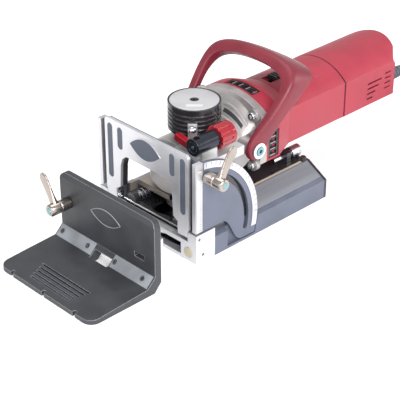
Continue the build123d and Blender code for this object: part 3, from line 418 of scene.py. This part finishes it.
# --- motor unit -----------------------------------------------------------------------------------
def body_section(x, half, low, high, top, bottom, steps=10):
    """Points round a section with flat sides and bowed top and bottom, in mm."""
    def bow(level, crown):
        rise = crown - level
        radius = (half * half + rise * rise) / (2 * rise)
        points = []
        for i in range(1, steps):
            y = half - 2 * half * i / steps
            drop = math.sqrt(radius * radius - y * y) if rise > 0 else -math.sqrt(radius * radius - y * y)
            points.append((y, crown - radius + drop))
        return points

    ring = [(half, low + (high - low) * i / 4) for i in range(5)] + bow(high, top)
    ring += [(-half, high - (high - low) * i / 4) for i in range(5)]
    ring += [(-y, z) for y, z in bow(low, bottom)]
    return in_mm([(x, y, z) for y, z in ring])


def seam_ring():
    """Dark gasket between the two motor covers."""
    x = FRONT_HI.x / MM
    rings = [body_section(x + offset, 38.2, 61, 100, 115.7, 47.8) for offset in (-0.4, 2.2)]
    piece("seam_ring", lofted(rings), "motor_unit", "dark_mark")


PLATE_ALONG = Vector((0.719, -0.695, 0))
PLATE_DOWN = Vector((-0.695, -0.719, 0))


def turret_label():
    """Grey disc on top of the depth turret, with a blank plate on it."""
    x = (TURRET_LO.x + TURRET_HI.x) / 2
    z = TURRET_HI.z - 0.7 * MM
    rim = [(0, 24.4), (0.5, 24.4), (0.62, 24.0), (0.62, 4.6), (0, 4.6)]
    made = swept_ring(rim, 64, lambda lift, a, b: (x + a, b, z + lift * MM))
    piece("turret_label", made, "depth_turret", "label_grey")
    side, down = PLATE_ALONG, PLATE_DOWN
    centre = Vector((x, 0, z + 0.6 * MM)) + down * 13.6 * MM
    a, b = side * 8.2 * MM, down * 2.6 * MM
    corners = [centre - a - b, centre + a - b, centre + a + b, centre - a + b]
    piece("turret_plate", plate(corners, (0, 0, 1), 0.12 * MM), "depth_turret", "label_pale")


SLEEVE_END = (24.6, -39.3, 106)


def sleeve_cap():
    """End cap of the height drive's sleeve, with its screw."""
    centre = Vector(SLEEVE_END) * MM
    cap = [(0.2, 0.3), (0.2, 5.3), (1.2, 5.5), (1.2, 0.3)]
    made = turned(cap, centre, (1, 0, 0), (0, 1, 0), 36)
    piece("sleeve_cap", made, "motor_unit", "dark_anodised")
    head = [(-0.3, 0.2), (-0.3, 1.6), (0.1, 1.9), (0.4, 1.9), (0.4, 0.2)]
    made = turned(head, centre, (1, 0, 0), (0, 1, 0), 20)
    piece("sleeve_screw", made, "motor_unit", "teal_screw")


CROWN_R = 83.0
GRILLE_SHADE_HALF, GRILLE_SHADE_STRIPS = 17.5, 8


def crown_drop(y):
    """How far the cover's crown has fallen at a distance from the middle, in mm."""
    return CROWN_R - math.sqrt(CROWN_R ** 2 - y * y)


def grille_parts():
    """Dark sheets behind the cooling grilles as painted shade in their openings, and the light comb ribs on
    them.
    """
    # Flat black sheets just under the top openings and just inside the side openings: painted shade in the
    # grille.
    meshes = []
    for step in range(GRILLE_SHADE_STRIPS):
        near, far = (GRILLE_SHADE_HALF * (2 * edge / GRILLE_SHADE_STRIPS - 1) for edge in (step, step + 1))
        z = 120.0 - crown_drop(max(abs(near), abs(far)))
        strip = [(125.2, near, z), (136.8, near, z), (136.8, far, z), (125.2, far, z)]
        meshes.append(plate(in_mm(strip), (0, 0, 1), 0.4 * MM))
    ribs = []
    for sign in (1, -1):
        wall = [(125.2, 41.2, 59), (138.8, 41.2, 59), (138.8, 41.2, 87), (125.2, 41.2, 87)]
        points = in_mm([(x, sign * y, z) for x, y, z in wall])
        meshes.append(plate(points, (0, sign, 0), 0.4 * MM))
        for step in range(4):
            z = 62.8 + step * 6.8 - 2.6
            rib = [(127.6, 43.7, z), (134.5, 43.7, z), (134.5, 43.7, z + 0.8), (127.6, 43.7, z + 0.8)]
            points = in_mm([(x, sign * y, z) for x, y, z in rib])
            ribs.append(plate(points, (0, sign, 0), 0.3 * MM))
    for step in range(4):
        y = -14.1 + step * 9.4 - 3.6
        z = 122.25 - crown_drop(y)
        rib = [(127.6, y - 0.4, z), (134.0, y - 0.4, z), (134.0, y + 0.4, z), (127.6, y + 0.4, z)]
        ribs.append(plate(in_mm(rib), (0, 0, 1), 0.3 * MM))
    piece("grille_shade", joined(meshes), "motor_unit", "black_plastic", smooth=False)
    piece("grille_ribs", joined(ribs), "motor_unit", "rib_grey", smooth=False)


def dome_height(x, y):
    """Height of the casting's dome above a point, in mm."""
    share = (x - 92) / 21
    half, level, crown = 29 + 9 * share, 84 + 10 * share, 92 + 26 * share
    rise = crown - level
    radius = (half * half + rise * rise) / (2 * rise)
    return crown - radius + math.sqrt(radius * radius - y * y)


def casting_details():
    """A flat dark strip painted as the shade of a vent slot, and two raised ribs across the casting's dome.
    """
    # The slot is a flat dark strip laid on the dome: painted shade, not a cut.
    for name, x, width, lift, finish in (("dome_slot_shade", 101.8, 2.6, 0.12, "dark_mark"),
                                         ("dome_rib_back", 106.0, 2.0, 0.7, "grey_cast"),
                                         ("dome_rib_front", 97.6, 1.8, 0.6, "grey_cast")):
        rings = []
        first, last = (-28, -2) if name == "dome_slot_shade" else (-31, 31)
        for i in range(25):
            y = first + (last - first) * i / 24
            ring = [(x, y, dome_height(x, y) - 0.3), (x + width, y, dome_height(x + width, y) - 0.3),
                    (x + width, y, dome_height(x + width, y) + lift), (x, y, dome_height(x, y) + lift)]
            rings.append(in_mm(ring))
        piece(name, lofted(rings), "motor_unit", finish)


PAD_R = 54.3


def body_pad():
    """Small raised pad on top of the front cover."""
    rings = []
    for i in range(9):
        y = -24 + i * 2
        z = 116.5 - PAD_R + math.sqrt(PAD_R ** 2 - y * y)
        rings.append([Vector(p) * MM for p in ((212, y, z - 0.3), (236, y, z - 0.3), (235.4, y, z + 0.6),
                                               (212.6, y, z + 0.6))])
    piece("body_pad", lofted(rings), "motor_unit", "red_shell")


def handle_washers():
    """White washers round the handle's screws."""
    lo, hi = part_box("handle_screws")
    x, z = (lo.x + hi.x) / 2, (lo.z + hi.z) / 2
    for sign, face, name in ((-1, lo.y, "washer_right"), (1, hi.y, "washer_left")):
        washer = [(-1.9, 5.2), (-1.9, 8.2), (-1.15, 8.2), (-0.95, 7.9), (-0.95, 5.2)]
        made = swept_ring(washer, 48, lambda depth, a, b: (x + a, face + sign * depth * MM, z + b))
        piece(name, made, "motor_unit", "white_mark")


def lever(name, origin, axis, reach, body, stands_for):
    """Cast clamp lever: a capped boss along the axis, and a flat blade that widens to a round tip."""
    start = Vector(origin) * MM
    along = Vector(axis)
    out = Vector(reach).normalized()
    profile = [(0, 3.1), (0, 5.6), (0.5, 6.0), (11, 6.0), (11.6, 5.3), (12.4, 5.3), (13, 6.2), (22.6, 6.2),
               (23.7, 5.5), (24.2, 4.5), (24.2, 3.1)]
    made = turned(profile, start, along, out, 40)
    width_way = along.cross(out)
    rings = []
    for distance, width, thick in ((2.5, 9.4, 7.0), (7, 9.0, 5.6), (12, 9.0, 4.2), (20, 10.4, 3.4),
                                   (28, 11.8, 3.2), (32, 11.6, 3.0), (35, 8.8, 2.6), (36.6, 4.4, 1.8)):
        ring = []
        for i in range(20):
            turn = 2 * math.pi * i / 20
            c, t = math.cos(turn), math.sin(turn)
            across = math.copysign(abs(c) ** 0.55, c) * width / 2
            deep = math.copysign(abs(t) ** 0.75, t) * thick / 2
            ring.append(start + (out * distance + width_way * across + along * (15.6 + deep)) * MM)
        rings.append(ring)
    piece(name, joined([made, lofted(rings)]), body, "nickel", stands_for=[stands_for])
    cap = [(23.8, 3.5), (24.5, 3.5), (24.5, 0.2)]
    screw = turned(cap, start, along, out, 6)
    piece(name + "_screw", screw, body, "teal_screw", smooth=False)


BOW_AT = Vector((88.5, 0, 84.7))
BOW_UP = Vector((0.654, 0, 0.757))
BOW_BACK = Vector((0.757, 0, -0.654))
BOW_STATIONS = [(45.4, -7.4, 52.4, -7.4), (45.3, -3.5, 52.8, -3.5), (45.3, 4.5, 52.9, 4.5),
                (45.4, 12, 53.6, 13), (46.2, 22, 56.6, 23), (47.4, 33, 58.8, 34), (48.8, 44, 60.3, 46),
                (50.0, 54, 61.2, 57), (50.3, 63, 61.3, 68), (48.8, 70, 60.2, 77.5), (44.8, 75.4, 56.8, 85),
                (38, 79.5, 49.6, 91.2), (29, 82.6, 37, 95.7), (15, 84.6, 19, 98.2), (0, 85.0, 0, 98.8)]
BOW_GROWTH = [(0, 0), (0, 0), (0, 0), (0, 0), (0, 0), (0, 0), (0, 0), (0, 0), (0, 4), (0.3, 7), (1.2, 9.5),
              (1.4, 9.8), (1.5, 9.0), (0, 8.0), (0, 7.6)]
BOW_BACKS = [(4.5, 24), (12, 21), (20, 18), (34, 16.4), (50, 16.6), (60, 18.6), (73.5, 24),
             (89, 33), (99, 38)]


def back_depth(height):
    """Depth of the bow's back edge at a height up the bow."""
    for (low, first), (high, second) in zip(BOW_BACKS, BOW_BACKS[1:]):
        if height <= high:
            return first + (second - first) * (height - low) / (high - low)
    return BOW_BACKS[-1][1]


def bow_ring(station, growth, sign):
    """Wedge-shaped section of the bow; its outer edge grows towards the back."""
    inner_y, inner_s, outer_y, outer_s = station
    front, back = 0.0, back_depth(outer_s)
    if outer_s < 4.5:
        chord = math.sqrt(max(0.0, 12.2 ** 2 - (outer_s - 4.5) ** 2))
        front, back = 12.2 - chord, 12.2 + chord
    straight = min(12.0, (front + back) / 2)
    section = [(0.0, front + 1.3), (0.09, front), (0.35, front - 0.1), (0.66, front + 0.1),
               (0.86, front + 1.5), (0.975, front + 4.5), (1.0, front + (back - front) * 0.55),
               (0.99, back - 1.2), (0.93, back), (0.5, (straight + back) / 2 + 0.6),
               (0.07, straight + 0.6), (0.0, straight - 1.5)]
    ring = []
    for share, depth in section:
        reach = max(0.0, share - 0.5) * 2 * max(0.0, depth - 2) / max(1.0, back - 2)
        y = inner_y + (outer_y - inner_y) * share + growth[0] * reach
        height = inner_s + (outer_s - inner_s) * share + growth[1] * reach
        ring.append((BOW_AT + BOW_UP * height + BOW_BACK * depth + Vector((0, sign * y, 0))) * MM)
    return ring


def bow_handle():
    """The bow handle as one smooth moulding with soft edges."""
    stations = list(zip(BOW_STATIONS, BOW_GROWTH))
    rings = [bow_ring(station, growth, -1) for station, growth in stations]
    rings += [bow_ring(station, growth, 1) for station, growth in reversed(stations[:-1])]
    obj = piece("bow_handle", lofted(rings), "motor_unit", "red_grip", stands_for=["handle"])
    for polygon in obj.data.polygons:
        polygon.use_smooth = True
    smooth = obj.modifiers.new("smooth", "SUBSURF")
    smooth.levels = smooth.render_levels = 2


def beam_strips():
    """Beige inserts along the inner top edges of the beams, and the small black knob beside one."""
    for sign, name in ((-1, "beam_strip_right"), (1, "beam_strip_left")):
        corners = [(92, 41.6), (176, 41.6), (176, 44.4), (92, 44.4)]
        points = [Vector((x, sign * y, BEAM_HI.z / MM)) * MM for x, y in corners]
        piece(name, plate(points, (0, 0, 1), 0.35 * MM), "base", "grip_pad")
    profile = [(0, 3.0), (2.6, 3.0), (3.0, 3.4), (4.6, 3.4), (5.2, 2.8), (5.2, 0.2)]
    at = Vector((179, -43, BEAM_HI.z / MM)) * MM
    knob = turned(profile, at, (0, 0, 1), (1, 0, 0), 32)
    piece("beam_knob", knob, "base", "black_plastic")


# --- stop square ----------------------------------------------------------------------------------
EYE_FROM_HOOK = 14.6 * MM


def square_details():
    """Eye outline on the upright wall; strips and dimples on the sloping fillet."""
    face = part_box("square_hook")[1].x - EYE_FROM_HOOK
    y0, z0 = -9.6 * MM, 51.4 * MM
    eye = bpy.data.curves.new("square_eye", "CURVE")
    eye.dimensions = "3D"
    eye.bevel_depth = 0.5 * MM
    eye.bevel_resolution = 2
    spline = eye.splines.new("POLY")
    outline = eye_outline(21.3 * MM, 8.2 * MM)
    spline.points.add(len(outline) - 1)
    for point, (y, z) in zip(spline.points, outline):
        point.co = (face, y0 + y, z0 + z, 1)
    spline.use_cyclic_u = True
    eye.materials.append(MATERIALS["strip_steel"])
    obj = bpy.data.objects.new("square_eye", eye)
    bpy.context.scene.collection.objects.link(obj)
    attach(obj, "square")
    top = Vector((-60.1, 0, 17.1)) * MM
    bottom = Vector((-69.4, 0, 8.0)) * MM
    slope = bottom - top
    normal = Vector((slope.z, 0, -slope.x)).normalized()
    if normal.x > 0:
        normal = -normal
    for number, (start, end) in enumerate(((-76, -23.2), (4.2, 56))):
        corners = [top + Vector((0, start * MM, 0)), top + Vector((0, end * MM, 0)),
                   bottom + Vector((0, end * MM, 0)), bottom + Vector((0, start * MM, 0))]
        piece(f"square_strip_{number}", plate(corners, normal, 0.4 * MM), "square", "strip_steel")
    for number, y in enumerate((51, 13, -26.5, -65.4)):
        middle = (top + bottom) / 2 + Vector((0, y * MM, 0)) + normal * 0.3 * MM
        disc = turned([(0, 2.9), (0.35, 2.8), (0.4, 2.4), (0.1, 2.2)],
                      middle, normal, (0, 1, 0), 28)
        piece(f"square_dimple_{number}", disc, "square", "square_cast")


# --- cord -----------------------------------------------------------------------------------------
CORD_ROUTE = [(384, -6, 60), (396, -6.3, 59.4), (408, -7.4, 56.2), (419, -8.8, 49.8), (429, -9.6, 42),
              (440, -9.4, 34.8), (452, -8, 30.2), (464, -6, 28.4)]
CORD_TAIL = [(456, -102.6, 4.1), (445, -103.7, 6.2), (435, -104, 10.4), (426, -104, 12.8),
             (418, -104, 13)]
TURNS = 11.5
STEPS = 16


def eased(t):
    t = max(0.0, min(1.0, t))
    return t * t * (3 - 2 * t)


def coil_points():
    """Turns of the coil: down through three layers, across four columns and back."""
    pitch = 8.0
    inner = 36.0
    centre = ((COIL_LO + COIL_HI) / 2) / MM
    slots = []
    for layer, columns in enumerate(((0, 1, 2, 3), (3, 2, 1, 0), (0, 1, 2, 3))):
        for column in columns:
            slots.append((inner + pitch * column, 20 - pitch * layer))
    slots.append(slots[-1])
    points = []
    for i in range(1, int(TURNS * STEPS) + 1):
        turn, share = divmod(i / STEPS, 1)
        here, after = slots[int(turn)], slots[int(turn) + 1]
        blend = eased((share - 0.7) / 0.3)
        radius = here[0] + (after[0] - here[0]) * blend
        height = here[1] + (after[1] - here[1]) * blend
        if i < 8:
            height += 8.4 * (1 - eased(i / 8))
        angle = math.pi / 2 - 2 * math.pi * i / STEPS
        points.append((centre.x + radius * math.cos(angle), centre.y + radius * math.sin(angle), height))
    return points


def cord():
    curve = bpy.data.curves.new("cord_line", "CURVE")
    curve.dimensions = "3D"
    curve.bevel_depth = CORD_D / 2
    curve.bevel_resolution = 4
    curve.resolution_u = 4
    spline = curve.splines.new("NURBS")
    points = CORD_ROUTE + coil_points() + CORD_TAIL
    spline.points.add(len(points) - 1)
    for point, place in zip(spline.points, points):
        point.co = (*[c * MM for c in place], 1)
    spline.order_u = 3
    spline.use_endpoint_u = True
    curve.materials.append(MATERIALS["cord_rubber"])
    obj = bpy.data.objects.new("cord_line", curve)
    bpy.context.scene.collection.objects.link(obj)
    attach(obj, "motor_unit")
    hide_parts("cord", "cord_coil")
    return obj


def strain_relief():
    """Tapered sleeve with bending grooves."""
    length = (RELIEF_HI.x - RELIEF_LO.x) / MM
    profile = [(0, 4.05), (0, 7.8), (8, 7.7)]
    for i in range(6):
        at = 10 + i * 4.6
        radius = 7.6 - (at - 10) * 0.05
        profile += [(at, radius), (at + 0.5, radius - 1.1), (at + 1.9, radius - 1.15),
                    (at + 2.4, radius - 0.1)]
    profile += [(length - 1.2, 5.7), (length, 5.1), (length, 4.05)]
    made = turned(profile, (RELIEF_LO.x, -6 * MM, 60 * MM), (1, 0, 0), (0, 1, 0), 40)
    return piece("strain_relief_sleeve", made, "motor_unit", "cord_rubber",
                 stands_for=["strain_relief"])


def plug():
    """Moulded plug body with grip rings, and its two pins."""
    start = PLUG_HI.x
    y, z = (PLUG_LO.y + PLUG_HI.y) / 2, (PLUG_LO.z + PLUG_HI.z) / 2
    profile = [(0, 4.1), (0, 5.4), (9, 6.2), (10, 5.6), (11.6, 5.7), (12.6, 6.6), (17, 7.1), (22, 8.0),
               (25, 11.4), (27, 12.6), (32, 12.9), (33, 12.2), (34.4, 12.2), (35.4, 12.9), (38, 12.9),
               (39, 12.2), (40.4, 12.2), (41.4, 12.9), (53, 12.9), (55, 12.4), (56, 11.2), (56, 0.2)]
    body = turned(profile, (start, y, z), (-1, 0, 0), (0, 1, 0), 44)
    made = piece("plug_body", body, "motor_unit", "cord_rubber", stands_for=["plug"])
    pins = []
    for sign in (1, -1):
        pin = [(54, 2.0), (74, 2.0), (74.7, 1.7), (75, 1.0), (75, 0.1)]
        pins.append(turned(pin, (start, y + sign * 9.5 * MM, z),
                           (-1, 0, 0), (0, 1, 0), 20))
    return made, piece("plug_pins", joined(pins), "motor_unit", "nickel")


# --- stage ----------------------------------------------------------------------------------------
def floor():
    made = bmesh.new()
    half = 6.0
    corners = ((-half, -half, 0), (half, -half, 0), (half, half, 0), (-half, half, 0))
    made.faces.new([made.verts.new(p) for p in corners])
    mesh = bpy.data.meshes.new("floor")
    made.to_mesh(mesh)
    made.free()
    mesh.materials.append(MATERIALS["stone_floor"])
    obj = bpy.data.objects.new("floor", mesh)
    obj.location.z = -0.3 * MM
    bpy.context.scene.collection.objects.link(obj)


def soft_light(name, place, target, size, power):
    light = bpy.data.lights.new(name, "AREA")
    light.shape = "RECTANGLE"
    light.size, light.size_y = size
    light.energy = power
    obj = bpy.data.objects.new(name, light)
    obj.location = place
    obj.rotation_euler = (Vector(target) - Vector(place)).to_track_quat("-Z", "Y").to_euler()
    bpy.context.scene.collection.objects.link(obj)


WORLD_LIGHT = 0.62
LIT_POINT = (0.12, 0, 0.06)
LIGHTS = [("key", (-0.5, -1.5, 1.15), (1.0, 0.9), 30), ("front", (-1.5, -0.4, 0.7), (0.9, 0.7), 9),
          ("top", (0.3, 0.4, 1.9), (1.4, 1.0), 13), ("side", (1.5, -1.0, 0.6), (0.8, 0.8), 8)]


def studio():
    """White surroundings and four soft lights, as (name, place, size, power)."""
    world = bpy.data.worlds.new("studio")
    world.use_nodes = True
    world.node_tree.nodes["Background"].inputs["Color"].default_value = (1.0, 1.0, 1.0, 1.0)
    world.node_tree.nodes["Background"].inputs["Strength"].default_value = WORLD_LIGHT
    bpy.context.scene.world = world
    bpy.context.scene.view_settings.view_transform = "Standard"
    for name, place, size, power in LIGHTS:
        soft_light(name, place, LIT_POINT, size, power)


CAMERA_AT = (-0.7421, -0.8429, 0.7031)
CAMERA_TURN, CAMERA_RISE = -44.02, 30.49
CAMERA_LENS = 120.53


def camera():
    """Camera at the solved viewpoint, looking down on the working face and one side."""
    azimuth, elevation = math.radians(CAMERA_TURN), math.radians(CAMERA_RISE)
    back = Vector((math.sin(azimuth) * math.cos(elevation), -math.cos(azimuth) * math.cos(elevation),
                   math.sin(elevation)))
    data = bpy.data.cameras.new("camera")
    data.sensor_width = 36.0
    data.lens = CAMERA_LENS
    data.clip_start, data.clip_end = 0.05, 20.0
    obj = bpy.data.objects.new("camera", data)
    obj.location = CAMERA_AT
    obj.rotation_mode = "QUATERNION"
    obj.rotation_quaternion = (-back).to_track_quat("-Z", "Y")
    bpy.context.scene.collection.objects.link(obj)
    bpy.context.scene.camera = obj


camera()
studio()
floor()
flex = cord()
sleeve = strain_relief()
plug_body, plug_pins = plug()
badge()
height_ticks()
quadrant_ticks()
beam_rims()
seam_ring()
turret_label()
handle_washers()
fence_linings()
window_ledges()
sleeve_cap()
grille_parts()
casting_details()
body_pad()
lever("clamp_lever_cast", (13.5, -70.3, 91.5), (0, -1, 0), (0.559, 0, 0.829), "fence_lever", "clamp_lever")
lever("square_lever_cast", (-60.4, 44.8, 45.6), (-1, 0, 0), (0, 0.53, 0.848), "square_handle", "square_lever")
bow_handle()
beam_strips()
square_details()
